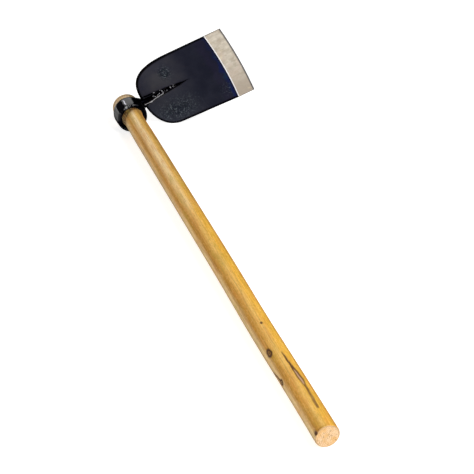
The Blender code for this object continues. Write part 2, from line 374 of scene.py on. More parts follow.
def build_handle(material):
    angle, stations, surface, side_marks = pole_side()
    side = (list(surface), list(stations), [0.0] * len(stations))
    butt = end_rings(surface[0], BUTT_Y, BUTT_ROUNDING, 1.0)
    top = end_rings(surface[-1], TOP_Y, TOP_ROUNDING, -1.0)
    radii, ys, end = (np.array(a[::-1] + b + c) for a, b, c in zip(butt, side, top))
    ys = ys[:, None] + 0.0 * radii
    end = end[:, None] + 0.0 * radii
    marks = [side_marks[0] * (1.0 - share) for share in butt[2][::-1]]
    marks += list(side_marks)
    marks += [side_marks[-1] * (1.0 - share) for share in top[2]]
    marks = np.array(marks)

    points = np.stack((np.cos(angle) * radii, ys, np.sin(angle) * radii), -1)
    sawn = waves(21, points * (1.0, 0.0, 1.0), 0.006, 2) * 0.00005
    inward = np.where(ys < -0.5, 1.0, -1.0) * (end > 0.99)
    points[..., 1] += (np.abs(sawn) + 0.00002) * inward
    points[..., 0] -= BOW * hump(ys, BOW_Y, BOW_HALF_LENGTH)
    masks = {"end": end, "knot": marks[..., 0], "lips": marks[..., 1], "seam": marks[..., 2]}
    return add_tube("wood_handle", points, True, material, masks)


# -------- eye forging


def on_blade(along, across, above):
    """Tool-frame points by distance along the inner face, across it and above it."""
    cos, sin = math.cos(BLADE_LEAN), math.sin(BLADE_LEAN)
    x = along * cos - above * sin
    y = BLADE_FACE_Y - along * sin - above * cos
    return np.stack(np.broadcast_arrays(x, y, across), -1)


def blade_coordinates(points):
    """Distance along the inner face, across it and above it, of tool-frame points."""
    cos, sin = math.cos(BLADE_LEAN), math.sin(BLADE_LEAN)
    x, y = points[..., 0], points[..., 1] - BLADE_FACE_Y
    return x * cos - y * sin, points[..., 2], -x * sin - y * cos


def tang_share(along):
    return np.clip((along - TANG_START) / (TANG_END - TANG_START), 0.0, 1.0)


def tang_centre(along):
    return TANG_OFFSET + TANG_DRIFT * (1.0 - (1.0 - tang_share(along)) ** 2)


def tang_half_width(along):
    root = 0.0014 * (1.0 - ease((along - 0.033) / 0.014))
    return between(TANG_HALF_WIDTHS[::-1], (1.0 - tang_share(along)) ** 1.25) + root


def tang_height(along):
    return between(TANG_HEIGHTS, tang_share(along) ** 0.85)


def meet(first, second, rounding):
    """Field of the overlap of two forms, with its edge rounded."""
    corner = np.hypot(np.maximum(first + rounding, 0.0), np.maximum(second + rounding, 0.0))
    return np.minimum(-rounding, np.maximum(first, second)) + corner


def join(first, second, fillet):
    """Field of two forms joined with a smooth fillet."""
    blend = np.clip(0.5 + 0.5 * (second - first) / fillet, 0.0, 1.0)
    return second + (first - second) * blend - fillet * blend * (1.0 - blend)


def arch(sideways, half_width, upward, height, power=3.3):
    """Field of a rib's section: upright sides and a rounded crest."""
    total = np.abs(sideways / half_width) ** power + np.abs(upward / height) ** power
    return (total ** (1.0 / power) - 1.0) * np.minimum(half_width, height)


def eye_radius(y):
    return between((EYE_RADIUS_LOW, EYE_RADIUS_TOP), y / COLLAR_HEIGHT)


def collar_field(points):
    """The ring: its lower rim dips a little on the side away from the blade."""
    radius = np.hypot(points[..., 0], points[..., 2])
    y = points[..., 1]
    rim = -RIM_DROP + RIM_SLANT * points[..., 0] / (radius + 1e-9)
    share = np.clip((y - rim) / (COLLAR_HEIGHT - rim), 0.0, 1.0)
    bulge = COLLAR_BULGE * (1.0 - np.abs(2.0 * share - 1.0) ** 5)
    dents = waves(3, points, 0.030, 2) * 0.00012
    outside = radius - between((COLLAR_RADIUS_LOW, COLLAR_RADIUS_TOP), share) - 0.75 * bulge
    inside = eye_radius(y) - radius
    field = meet(outside + dents, rim - y, LOWER_RIM_ROUNDING)
    field = meet(field, y - COLLAR_HEIGHT, UPPER_RIM_ROUNDING)
    return meet(field, inside, EYE_EDGE_ROUNDING)


def neck_field(points):
    """Waisted bridge between the collar and the tang, flat on the blade's far side."""
    x, y, z = points[..., 0], points[..., 1], points[..., 2]
    crest = np.interp(x, (0.0240, 0.0268, 0.0280, 0.0295), (0.0070, 0.0095, 0.0140, 0.0180))
    waist = (0.0140, 0.0130, 0.0114, 0.0102)
    half_width = np.interp(x, (0.0240, 0.0268, 0.0290, 0.0325), waist)
    upward = np.maximum(NECK_LOW_Y - y, 0.0)
    field = arch(z - tang_centre(NECK_END), half_width, upward, NECK_LOW_Y - crest)
    field = np.maximum(field, y - NECK_LOW_Y)
    field = np.maximum(field, NECK_REACH[0] - x)
    return np.maximum(field, x - NECK_REACH[1])


def tang_field(points):
    along, across, above = blade_coordinates(points)
    sideways = across - tang_centre(along)
    half_width = tang_half_width(along)
    height = tang_height(along)
    curl = weld_scrawl(along, across) * SCRAWL_HEIGHT
    field = arch(sideways, half_width, np.maximum(above - GAP, 0.0), height, 2.6) - curl
    field = np.maximum(field, GAP - above)
    field = np.maximum(field, TANG_START - 0.006 - along)
    return np.maximum(field, along - TANG_END)


def forging_field(points):
    along, _, above = blade_coordinates(points)
    rib = join(neck_field(points), tang_field(points), NECK_FILLET)
    field = join(collar_field(points), rib, COLLAR_FILLET)
    from_axis = np.hypot(points[..., 0], points[..., 2])
    field = np.maximum(field, eye_radius(points[..., 1]) - from_axis)
    hammered = waves(11, points, 0.016, 2) * 0.00008
    beside_blade = np.minimum(along - NECK_END, GAP - above)
    return np.maximum(field + hammered, beside_blade)


def weld_scrawl(along, across):
    """Loose loops and a thin line of weld metal over the tang's crest, from 0 to 1; glints are
    also painted along them.
    """
    # Loops: middle along and across, half length, half width, where each stays open.
    loops = (
        (0.0638, 0.0086, 0.0046, 0.0036, 0.3),
        (0.0750, 0.0070, 0.0036, 0.0036, -2.2),
        (0.0852, 0.0078, 0.0026, 0.0022, 1.4),
        (0.1030, 0.0080, 0.0030, 0.0012, 0.0),
    )
    total = hump(np.hypot(along - 0.0956, across - 0.0080), 0.0, 0.0014)
    for middle, centre, long, wide, opening in loops:
        u, v = (along - middle) / long, (across - centre) / wide
        reach = np.hypot(u, v) + 0.12 * np.sin(5.0 * u + 3.0 * v + 900.0 * middle)
        ring = 1.3 * hump(reach, 1.0, 0.28) * (0.62 + 0.38 * np.sin(5.0 * u - 4.0 * v))
        total = total + ring * (1.0 - hump(angle_apart(np.arctan2(v, u), opening), 0.0, 0.7))
    line = np.interp(along, (0.038, 0.051, 0.059, 0.080), (0.0003, -0.0006, 0.0016, 0.0041))
    reach = ease((along - 0.036) / 0.002) * ease((0.088 - along) / 0.020)
    total = total + reach * hump(across, line, 0.0009)
    total = total + hump(np.hypot(along - 0.0508, across + 0.0004), 0.0, 0.0021)
    return np.clip(total, 0.0, 1.0)


def painted_glint_spots(along, across):
    """Painted glints: small bright places at the neck's corners."""
    spots = ((0.0337, 0.0119, 0.0036), (0.0350, -0.0070, 0.0020))
    return sum(hump(np.hypot(along - a, across - c), 0.0, size) for a, c, size in spots)


def forging_masks(points, normals):
    """Where the paint may reflect, with painted shade elsewhere, and where glints are painted on,
    per point.
    """
    along, across, above = blade_coordinates(points)
    radius = np.hypot(points[:, 0], points[:, 2]) + 1e-9
    outward = (normals[:, 0] * points[:, 0] + normals[:, 2] * points[:, 2]) / radius
    on_collar = ease((0.0325 - radius) / 0.002)
    turn = np.arctan2(points[:, 2], points[:, 0])
    underside = angle_apart(turn, math.pi)
    # Painted shade: shine stays only on the collar's outer face, and is cut on its lower rim
    # face, on a strip of the side away from the blade, towards the neck and partly past 132
    # degrees round; without it the paint turns into black metal that shows no reflection.
    shine = on_collar * ease((outward - 0.40) / 0.25) * ease((np.abs(underside) - 0.25) / 0.20)
    shine *= 1.0 - 0.8 * ease((points[:, 0] - 0.012) / 0.008)
    shine *= 0.42 + 0.58 * ease((math.radians(132.0) - np.abs(turn)) / 0.20)
    # Painted glints along the weld scrawl's loops and line and at the neck's corners.
    curl = weld_scrawl(along, across) * ease((above - 0.001) / 0.001)
    spots = painted_glint_spots(along, across) * hump(above, 0.0010, 0.0035)
    return {"shine": shine, "painted_glint": np.clip(curl + spots, 0.0, 1.0)}


def slope_of(field, points):
    step = 2e-5
    slope = [field(points + nudge) - field(points - nudge) for nudge in step * np.eye(3)]
    return np.stack(slope, -1) / (2.0 * step)


def settle_on(field, points, rounds=8):
    """Moves points along the field's slope until they lie on its surface."""
    for _ in range(rounds):
        value = field(points)
        slope = slope_of(field, points)
        steepness = np.maximum((slope**2).sum(-1), 0.05)
        move = -slope * (value / steepness)[..., None]
        length = np.linalg.norm(move, axis=-1, keepdims=True)
        points = points + move * np.minimum(1.0, 0.0008 / np.maximum(length, 1e-9))
    return points


def remeshed_points(node):
    """Even, dense points and faces of a CAD node, in the tool frame."""
    copy = bpy.data.objects.new("remesh_source", frame["nodes"][node].data.copy())
    bpy.context.scene.collection.objects.link(copy)
    remesh = copy.modifiers.new("remesh", "REMESH")
    remesh.mode = "VOXEL"
    remesh.voxel_size = FORGING_VOXEL
    graph = bpy.context.evaluated_depsgraph_get()
    mesh = bpy.data.meshes.new_from_object(copy.evaluated_get(graph))
    places = np.zeros(len(mesh.vertices) * 3)
    mesh.vertices.foreach_get("co", places)
    faces = [tuple(face.vertices) for face in mesh.polygons]
    bpy.data.objects.remove(copy, do_unlink=True)
    bpy.data.meshes.remove(mesh)
    back = np.array(TOOL.inverted())
    return places.reshape(-1, 3) @ back[:3, :3].T + back[:3, 3], faces


def build_forging(material):
    points, faces = remeshed_points("eye_collar")
    points = settle_on(forging_field, points)
    normals = slope_of(forging_field, points)
    normals /= np.linalg.norm(normals, axis=-1, keepdims=True) + 1e-12
    return add_piece("forged_eye", points, faces, material, forging_masks(points, normals))


# -------- blade


def side_half_width(shoulder, along):
    share = (along - shoulder[0]) / (BLADE_REACH - shoulder[0])
    return between((shoulder[1], EDGE_HALF_WIDTH), share)


def back_and_edge():
    """The blade's rounded back and its cutting edge, as matching (along, across) rows."""
    back = []
    for turn in np.linspace(-math.pi / 2.0, math.pi / 2.0, BLADE_COLUMNS):
        upper = math.sin(turn) >= 0
        shoulder = UPPER_SHOULDER if upper else LOWER_SHOULDER
        power = 2.0 / CORNER_SQUARENESS[0 if upper else 1]
        along = shoulder[0] - (shoulder[0] - BLADE_BACK) * abs(math.cos(turn)) ** power
        across = math.copysign(shoulder[1] * abs(math.sin(turn)) ** power, math.sin(turn))
        back.append((along, across))
    back = np.array(back)
    share = back[:, 1] / np.where(back[:, 1] < 0, LOWER_SHOULDER[1], UPPER_SHOULDER[1])
    return back, np.stack((edge_along(share), share * EDGE_HALF_WIDTH), -1)


def edge_along(share):
    """Reach of the bowed cutting edge, by share of its half width."""
    return BLADE_REACH + EDGE_BULGE * (1.0 - share**2)


def bevel_start(across):
    return BEVEL_START + BEVEL_START_BULGE * (1.0 - (across / EDGE_HALF_WIDTH) ** 2)


def blade_surface(along, across):
    """Height of the inner face above its plane: flat, then ground down to the edge."""
    start = bevel_start(across)
    edge = edge_along(across / EDGE_HALF_WIDTH)
    share = np.clip((along - start) / (edge - start), 0.0, 1.0)
    step = BEVEL_STEP * ease((along - start) / 0.0016)
    return -(BLADE_THICKNESS - EDGE_THICKNESS - BEVEL_STEP) * share - step


def scale_mask(along, across):
    """Where forge scale is rough: a wide patch below the tang and two small ones."""
    patch = hump(along, 0.086, 0.032) * hump(across, -0.045, 0.021)
    small = 1.5 * hump(along, 0.099, 0.009) * hump(across, 0.039, 0.012)
    corner = 0.8 * hump(along, 0.194, 0.012) * hump(across, -0.051, 0.012)
    return np.clip(patch + small + corner, 0.0, 1.0)


def blade_relief(along, across):
    """Hammering and scale on the plate, fine grinding on the bevel, calm at the tang."""
    places = np.stack((along, across, 0.0 * along), -1)
    bare = ease((along - bevel_start(across) + 0.001) / 0.003)
    forged = waves(5, places, 0.070, 3) * 0.00012
    scale = waves(9, places, 0.0062, 3) * 0.00016 * scale_mask(along, across)
    ground = waves(13, places * (0.35, 1.0, 1.0), 0.020, 2) * 0.00003
    near_tang = hump(across - tang_centre(along), 0.0, 0.012) * ease((0.150 - along) / 0.02)
    return ((forged + scale) * (1.0 - bare) + ground * bare) * (1.0 - near_tang)


def distance_to(places, line):
    """Distance from each 2-D place to the nearest point of a closed line."""
    nearest = np.full(len(places), np.inf)
    for start, end in zip(line, np.roll(line, -1, axis=0)):
        span = end - start
        share = np.clip(((places - start) @ span) / (span @ span), 0.0, 1.0)
        gap = places - start - share[:, None] * span
        nearest = np.minimum(nearest, (gap**2).sum(1))
    return np.sqrt(nearest)


def blade_sheet():
    """Grid of (along, across) places from the back to the cutting edge."""
    back, edge = back_and_edge()
    narrower = side_half_width(LOWER_SHOULDER, BEVEL_START) / EDGE_HALF_WIDTH
    start = np.stack((bevel_start(edge[:, 1]), edge[:, 1] * narrower), -1)
    sheet = [back + (start - back) * share for share in np.linspace(0.0, 1.0, BLADE_ROWS)]
    bevel_shares = np.concatenate((BEVEL_SHARES, np.linspace(0.09, 1.0, BEVEL_ROWS)))
    sheet += [start + (edge - start) * share for share in bevel_shares]
    return np.array(sheet)


def border_walk(rows, columns):
    """Row and column of each point once around a grid's border."""
    border = [(0, i) for i in range(columns)]
    border += [(j, columns - 1) for j in range(1, rows)]
    border += [(rows - 1, i) for i in range(columns - 2, -1, -1)]
    return border + [(j, 0) for j in range(rows - 2, 0, -1)]


def inward_normals(outline):
    """Unit directions into a closed outline from each of its points."""
    ahead = np.roll(outline, -1, axis=0) - np.roll(outline, 1, axis=0)
    ahead /= np.linalg.norm(ahead, axis=1, keepdims=True)
    inward = np.stack((-ahead[:, 1], ahead[:, 0]), -1)
    to_middle = ((outline.mean(axis=0) - outline) * inward).sum(-1).mean()
    return inward if to_middle > 0 else -inward


def build_blade(material):
    sheet = blade_sheet()
    rows, columns = sheet.shape[:2]
    border = border_walk(rows, columns)
    outline = np.array([sheet[j, i] for j, i in border])
    inward = inward_normals(outline)
    thickness = BLADE_THICKNESS + blade_surface(outline[:, 0], outline[:, 1])
    rounding = np.minimum(PLATE_ROUNDING, 0.45 * thickness)
    for (j, i), place in zip(border, outline + inward * rounding[:, None]):
        sheet[j, i] = place
    sheet[1:-1, 1] = (sheet[1:-1, 0] + sheet[1:-1, 2]) / 2.0
    sheet[1:-1, -2] = (sheet[1:-1, -1] + sheet[1:-1, -3]) / 2.0

    along, across = sheet[..., 0], sheet[..., 1]
    top = blade_surface(along, across) + blade_relief(along, across)
    # The far face has weaker hammering, taken from another stretch of the same waves.
    under = -BLADE_THICKNESS + 0.42 * blade_relief(along + 0.31, across)
    points = [on_blade(along, across, height).reshape(-1, 3) for height in (top, under)]
    places = [sheet.reshape(-1, 2)] * 2
    count = rows * columns
    quads = grid_quads(rows, columns, False)
    faces = [tuple(quad[::-1]) for quad in quads] + [tuple(count + quad) for quad in quads]

    edge_points = np.array([j * columns + i for j, i in border])
    rings = [edge_points]
    next_index = 2 * count
    steps = [(share, top, -1.0) for share in (1 / 3, 2 / 3, 1.0)]
    steps += [(share, under, 1.0) for share in (1.0, 2 / 3, 1 / 3)]
    for share, face_height, toward_middle in steps:
        swing = math.pi / 2.0 * share
        ring = outline + inward * (rounding * (1.0 - math.sin(swing)))[:, None]
        drop = rounding * (1.0 - math.cos(swing))
        height = face_height.reshape(-1)[edge_points] + toward_middle * drop
        points.append(on_blade(ring[:, 0], ring[:, 1], height))
        places.append(ring)
        rings.append(np.arange(next_index, next_index + len(border)))
        next_index += len(border)
    rings.append(edge_points + count)
    for upper, lower in zip(rings, rings[1:]):
        walls = (upper, np.roll(upper, -1), np.roll(lower, -1), lower)
        faces += [tuple(wall) for wall in np.stack(walls, -1)]

    points, places = np.concatenate(points), np.concatenate(places)
    far_side = np.zeros(len(points))
    far_side[count : 2 * count] = 1.0
    masks = {
        "from_bevel": places[:, 0] - bevel_start(places[:, 1]),
        "from_edge": edge_along(places[:, 1] / EDGE_HALF_WIDTH) - places[:, 0],
        "scale": scale_mask(places[:, 0], places[:, 1]),
        "far_side": far_side,
        "rim": distance_to(places, outline),
    }
    return add_piece("blade_plate", points, faces, material, masks)


# -------- weld beads


def build_side_weld(name, side, material):
    """Rippled fillet between the blade's inner face and one side of the tang."""
    stations, around = 220, 12
    share = np.linspace(0.0, 1.0, stations)
    along = between(SIDE_WELD_SPAN, share)
    taper = np.minimum(1.0, 0.35 + 3.0 * np.sin(math.pi * share))
    beads = np.abs(np.sin(math.pi * along / SIDE_WELD_RIPPLE + 1.5 * np.sin(along * 240.0)))
    leg = between(SIDE_WELD_LEGS, share) * taper * (0.86 + 0.14 * beads)
    wall = tang_centre(along) + side * (tang_half_width(along) + GAP)
    height = np.minimum(leg, tang_height(along))
    rings = [on_blade(along, wall, GAP)]
    for step in range(around + 1):
        angle = math.pi / 2.0 * step / around
        crown = 1.0 + 0.10 * math.sin(2.0 * angle)
        across = wall + side * leg * crown * math.cos(angle)
        rings.append(on_blade(along, across, GAP + height * crown * math.sin(angle)))
    round_share = np.concatenate(([0.0], np.linspace(0.0, 1.0, around + 1)))
    crest = np.sin(math.pi * round_share) ** 2
    # Painted shade: the upper bead gets no shine, so it shows no reflection.
    shine = crest * (0.5 + 0.5 * beads[:, None]) * (side < 0)
    # Painted glints on the beads near the neck's corners and, on the upper bead, along the weld
    # scrawl.
    painted_bead_glints = painted_glint_spots(along, wall - 0.0004)
    if side > 0:
        painted_bead_glints = painted_bead_glints + weld_scrawl(along, wall + side * leg)
    masks = {"shine": shine, "painted_glint": np.clip(crest * painted_bead_glints[:, None], 0.0, 1.0)}
    return add_tube(name, np.stack(rings, 1), side < 0, material, masks)


def build_root_weld(material):
    """Low bead over the joint between the neck and the blade's back edge."""
    stations, around = 60, 14
    share = np.linspace(0.0, 1.0, stations)
    across = tang_centre(NECK_END) + ROOT_WELD_HALF_LENGTH * (2.0 * share - 1.0)
    fullness = 0.35 + 0.65 * np.sin(math.pi * share)
    fullness = fullness * (0.90 + 0.10 * np.abs(np.sin(math.pi * share * 6.0)))
    middle = (NECK_END + BLADE_BACK) / 2.0
    rings = []
    for step in range(around + 1):
        angle = math.pi * step / around
        along = middle + ROOT_WELD_HALF_WIDTH * fullness * math.cos(angle)
        rise = ROOT_WELD_HEIGHT * fullness * math.sin(angle)
        rings.append(on_blade(along, across, -BLADE_THICKNESS - GAP - rise))
    rings = np.stack(rings, 1)
    masks = {"shine": np.full(rings.shape[:2], 0.5), "painted_glint": np.zeros(rings.shape[:2])}
    return add_tube("weld_root", rings, False, material, masks)


# -------- materials


class Shading:
    """Short way to write the nodes of one Principled material."""

    def __init__(self, name, **plain):
        self.material = bpy.data.materials.new(name)
        self.material.use_nodes = True
        self.tree = self.material.node_tree
        self.shader = self.tree.nodes["Principled BSDF"]
        for socket, value in plain.items():
            self.shader.inputs[socket.replace("_", " ")].default_value = value

    def node(self, kind, inputs=None, **settings):
        made = self.tree.nodes.new(kind)
        for setting, value in settings.items():
            setattr(made, setting, value)
        for socket, value in (inputs or {}).items():
            self.feed(made.inputs[socket], value)
        return made

    def feed(self, socket, value):
        if isinstance(value, bpy.types.NodeSocket):
            self.tree.links.new(value, socket)
        else:
            socket.default_value = value

    def shade(self, socket, value):
        self.feed(self.shader.inputs[socket], value)

    def attribute(self, name, output="Fac"):
        return self.node("ShaderNodeAttribute", attribute_name=name).outputs[output]

    def math(self, operation, *values, clamp=False):
        made = self.node("ShaderNodeMath", operation=operation, use_clamp=clamp)
        for socket, value in zip(made.inputs, values):
            self.feed(socket, value)
        return made.outputs[0]

    def times(self, product, *factors):
        for factor in factors:
            product = self.math("MULTIPLY", product, factor)
        return product

    def plus(self, first, second):
        return self.math("ADD", first, second)

    def minus(self, first, second):
        return self.math("SUBTRACT", first, second)

    def stretched(self, place, scale):
        made = self.node("ShaderNodeVectorMath", {0: place, 1: scale}, operation="MULTIPLY")
        return made.outputs[0]

    def noise(self, place, scale, detail=3.0, roughness=0.5, distortion=0.0):
        names = ("Vector", "Scale", "Detail", "Roughness", "Distortion")
        inputs = dict(zip(names, (place, scale, detail, roughness, distortion)))
        return self.node("ShaderNodeTexNoise", inputs).outputs["Fac"]

    def cells(self, place, scale):
        inputs = {"Vector": place, "Scale": scale}
        return self.node("ShaderNodeTexVoronoi", inputs).outputs["Distance"]

    def spread(self, value, low, high, to_low=0.0, to_high=1.0):
        """Value between low and high, taken to another span and held inside it."""
        inputs = {0: value, 1: low, 2: high, 3: to_low, 4: to_high}
        made = self.node("ShaderNodeMapRange", inputs, interpolation_type="SMOOTHSTEP")
        return made.outputs[0]

    def ramp(self, value, *stops):
        made = self.node("ShaderNodeValToRGB", {"Fac": value})
        elements = made.color_ramp.elements
        while len(elements) < len(stops):
            elements.new(0.5)
        for element, (place, colour) in zip(elements, stops):
            element.position = place
            element.color = (*colour, 1.0)
        return made.outputs["Color"]

    def mix(self, share, first, second, blend="MIX"):
        made = self.node("ShaderNodeMix", data_type="RGBA", blend_type=blend)
        sockets = (made.inputs[0], made.inputs[6], made.inputs[7])
        for socket, value in zip(sockets, (share, first, second)):
            self.feed(socket, (*value, 1.0) if isinstance(value, tuple) else value)
        return made.outputs[2]

    def layered(self, colour, *layers):
        """Colour with other colours laid over it, each by its own share."""
        for share, tint in layers:
            colour = self.mix(share, colour, tint)
        return colour

    def grazing(self, low, high):
        """Share that rises where the surface turns away from the eye."""
        made = self.node("ShaderNodeLayerWeight", {"Blend": 0.5})
        return self.spread(made.outputs["Facing"], low, high)

    def bump(self, height, distance, strength=1.0):
        inputs = {"Height": height, "Distance": distance, "Strength": strength}
        self.shade("Normal", self.node("ShaderNodeBump", inputs).outputs[0])


def wood_material():
    """Oiled hardwood: tones round the pole with painted highlight and shade, grain, dirt and a
    painted shadow below the eye, marks, sawn ends.
    """
    s = Shading("oiled_hardwood", Specular_IOR_Level=0.34)
    place = s.attribute("tool", "Vector")
    x, y, z = s.node("ShaderNodeSeparateXYZ", {0: place}).outputs
    drift = s.noise(s.stretched(place, (30.0, 5.0, 30.0)), 1.0, 4.0)
    turn = s.math("ARCTAN2", z, x)
    turn = s.plus(turn, s.times(s.minus(drift, 0.5), 0.26))
    turn = s.math("FRACT", s.math("DIVIDE", turn, 2.0 * math.pi))
    # Tones round the pole, partly the wood's own colour and partly painted light: the cream band
    # in the upper ramp is a painted highlight, and the darker stops along the pole's two edges as
    # seen from the camera are painted shade.
    lower = s.ramp(
        turn,
        (0.00, (0.46, 0.21, 0.01)),
        (0.06, (0.50, 0.23, 0.01)),
        (0.10, (0.80, 0.44, 0.04)),
        (0.16, (0.87, 0.47, 0.05)),
        (0.23, (0.88, 0.53, 0.12)),
        (0.28, (0.76, 0.39, 0.07)),
        (0.33, (0.62, 0.27, 0.02)),
        (0.39, (0.88, 0.62, 0.29)),
        (0.44, (0.56, 0.40, 0.21)),
        (0.48, (0.32, 0.22, 0.10)),
        (0.60, (0.66, 0.34, 0.04)),
        (0.74, (0.58, 0.27, 0.04)),
        (0.86, (0.74, 0.46, 0.15)),
        (1.00, (0.46, 0.21, 0.01)),
    )
    upper = s.ramp(
        turn,
        (0.00, (0.27, 0.13, 0.02)),
        (0.09, (0.35, 0.18, 0.02)),
        (0.16, (0.78, 0.46, 0.11)),
        (0.21, (0.98, 0.76, 0.44)),
        (0.23, (0.98, 0.74, 0.39)),
        (0.31, (0.64, 0.28, 0.04)),
        (0.36, (0.86, 0.52, 0.18)),
        (0.40, (0.74, 0.51, 0.29)),
        (0.44, (0.42, 0.31, 0.18)),
        (0.48, (0.26, 0.18, 0.09)),
        (0.70, (0.56, 0.31, 0.06)),
        (1.00, (0.27, 0.13, 0.02)),
    )
    along_wood = s.noise(s.stretched(place, (0.0, 9.0, 0.0)), 1.0, 2.0)
    height = s.plus(y, s.times(s.minus(along_wood, 0.5), 0.25))
    colour = s.mix(s.spread(height, -0.50, -0.20), lower, upper)
    # Below the eye, slanted across the pole: a near-black painted shadow next to the collar's
    # lip, and a wider brown band that is partly dirt and partly painted shade.
    from_rim = s.minus(y, s.times(x, 0.50))
    inside_eye = s.spread(y, 0.030, 0.020)
    grime_and_shade = s.times(s.spread(from_rim, -0.028, -0.010), inside_eye)
    painted_lip_shadow = s.times(s.spread(from_rim, -0.0135, -0.0080), inside_eye)
    ring_line = s.math("ABSOLUTE", s.minus(y, 0.0468))
    colour = s.layered(
        colour,
        (s.spread(y, 0.010, 0.036), (0.74, 0.56, 0.36)),
        (s.times(grime_and_shade, 0.55), (0.24, 0.13, 0.045)),
        (s.times(painted_lip_shadow, 0.92), (0.016, 0.011, 0.008)),
        (s.spread(ring_line, 0.0018, 0.0004, 0.0, 0.80), (0.26, 0.13, 0.060)),
        (s.spread(y, 0.0508, 0.0520, 0.0, 0.70), (0.30, 0.18, 0.09)),
    )

    fibre = s.noise(s.stretched(place, (1.0, 0.018, 1.0)), 900.0, 4.0, 0.6)
    streaks = s.noise(s.stretched(place, (1.0, 0.050, 1.0)), 520.0, 4.0, 0.7, 0.2)
    dashes = s.noise(s.stretched(place, (1.0, 0.30, 1.0)), 520.0, 2.0, 0.6)
    patches = s.noise(s.stretched(place, (1.0, 0.20, 1.0)), 75.0, 4.0, 0.6)
    colour = s.layered(
        colour,
        (s.spread(streaks, 0.50, 0.64, 0.0, 0.34), (0.40, 0.17, 0.018)),
        (s.spread(streaks, 0.48, 0.36, 0.0, 0.30), (0.95, 0.66, 0.22)),
        (s.spread(dashes, 0.54, 0.66, 0.0, 0.26), (0.34, 0.15, 0.020)),
        (s.spread(dashes, 0.45, 0.34, 0.0, 0.26), (1.00, 0.72, 0.26)),
        (s.spread(patches, 0.53, 0.66, 0.0, 0.38), (0.74, 0.31, 0.065)),
        (s.spread(patches, 0.46, 0.34, 0.0, 0.30), (0.56, 0.39, 0.045)),
    )

    sway = s.noise(s.stretched(place, (1.0, 0.06, 1.0)), 60.0, 3.0)
    pith_x = s.minus(x, 0.010)
    pith_z = s.plus(z, s.plus(0.019, s.times(y, 0.010)))
    squares = s.plus(s.math("POWER", pith_x, 2.0), s.math("POWER", pith_z, 2.0))
    pith = s.plus(s.math("SQRT", squares), s.times(sway, 0.006))
    season = s.math("FRACT", s.math("DIVIDE", pith, 0.0026))
    late = s.times(s.spread(season, 0.55, 0.95), s.spread(season, 1.0, 0.96))
    colour = s.mix(s.times(late, 0.20), colour, (0.42, 0.19, 0.025))
    tone = s.spread(fibre, 0.30, 0.70, 0.88, 1.10)
    tone_colour = s.node("ShaderNodeCombineColor", {0: tone, 1: tone, 2: tone}).outputs[0]
    colour = s.mix(1.0, colour, tone_colour, "MULTIPLY")
    pores = s.spread(s.noise(s.stretched(place, (1.0, 0.04, 1.0)), 2100.0, 2.0), 0.66, 0.74)
    colour = s.mix(s.times(pores, 0.45), colour, (0.22, 0.10, 0.025))

    dots = s.cells(s.stretched(place, (1.0, 0.0, 1.0)), 270.0)
    end_pores = s.spread(dots, 0.46, 0.22)
    end_pores = s.times(end_pores, s.spread(s.noise(place, 260.0, 2.0), 0.46, 0.56))
    dashed = s.spread(s.noise(place, 420.0, 2.0, 0.6), 0.40, 0.56)
    arcs = s.times(s.spread(late, 0.10, 0.60), s.plus(0.25, dashed))
    patches = s.spread(s.noise(place, 110.0, 3.0), 0.40, 0.62)
    end_colour = s.mix(patches, (0.80, 0.56, 0.33), (0.74, 0.45, 0.18))
    reach = s.math("SQRT", s.plus(s.times(x, x), s.times(z, z)))
    end_colour = s.layered(
        end_colour,
        (s.times(arcs, 0.95), (0.50, 0.25, 0.075)),
        (s.times(end_pores, 0.65), (0.24, 0.13, 0.05)),
        (s.spread(reach, 0.0164, 0.0178, 0.0, 0.75), (0.42, 0.27, 0.15)),
    )
    end = s.attribute("end")
    colour = s.mix(end, colour, end_colour)

    # The knot mask also carries the darkened nick and the painted shadow line along the butt's
    # rim.
    marks = (
        ("seam", 1.0, (0.56, 0.36, 0.27)),
        ("lips", 1.3, (0.120, 0.046, 0.014)),
        ("knot", 1.4, (0.100, 0.036, 0.006)),
    )
    for name, strength, tint in marks:
        share = s.math("MULTIPLY", s.attribute(name), strength, clamp=True)
        colour = s.mix(share, colour, tint)

    s.shade("Base Color", colour)
    rough = s.spread(fibre, 0.3, 0.7, 0.34, 0.46)
    rough = s.plus(rough, s.times(s.grazing(0.30, 0.62), 0.55))
    s.shade("Roughness", s.plus(rough, s.times(end, 0.30)))
    height = s.minus(s.times(fibre, 0.5), pores)
    s.bump(s.minus(height, s.times(end, end_pores)), 0.00012, 0.6)
    return s.material


def gloss_material(name, roughness):
    """Thick black paint, glossy where the shine mask lets it reflect; elsewhere, as in the
    corners, painted shade made as black metal that shows no reflection.
    """
    s = Shading(name, Specular_IOR_Level=1.0, IOR=1.8, Specular_Tint=(0.3, 0.3, 0.3, 1.0))
    place = s.attribute("tool", "Vector")
    cloud = s.noise(place, 90.0, 4.0)
    fine = s.noise(place, 620.0, 3.0)
    colour = s.mix(s.spread(cloud, 0.35, 0.7), (0.0010, 0.0010, 0.0020), (0.0030, 0.0026, 0.0045))
    dust = s.times(s.spread(fine, 0.60, 0.78), s.spread(cloud, 0.5, 0.7))
    colour = s.mix(s.times(dust, 0.35), colour, (0.040, 0.036, 0.040))
    # Painted glints: light grey where the glint mask is set.
    painted_glint = s.times(s.attribute("painted_glint"), s.spread(fine, 0.30, 0.55, 0.55, 1.0))
    colour = s.mix(s.spread(painted_glint, 0.22, 0.90), colour, (0.40, 0.40, 0.44))
    s.shade("Base Color", colour)
    # Where shine is low the paint becomes black metal: painted shade with no reflection.
    shine = s.math("ADD", s.attribute("shine"), painted_glint, clamp=True)
    s.shade("Metallic", s.spread(shine, 0.0, 0.8, 1.0, 0.0))
    rough = s.spread(cloud, 0.3, 0.7, roughness, roughness + 0.05)
    rough = s.plus(rough, s.spread(shine, 0.0, 0.8, 0.12, 0.0))
    s.shade("Roughness", s.plus(rough, s.times(s.grazing(0.55, 0.9), 0.6)))
    lumps = s.noise(place, 210.0, 2.0)
    s.bump(s.plus(lumps, s.times(fine, 0.12)), 0.00025, 0.45)
    return s.material


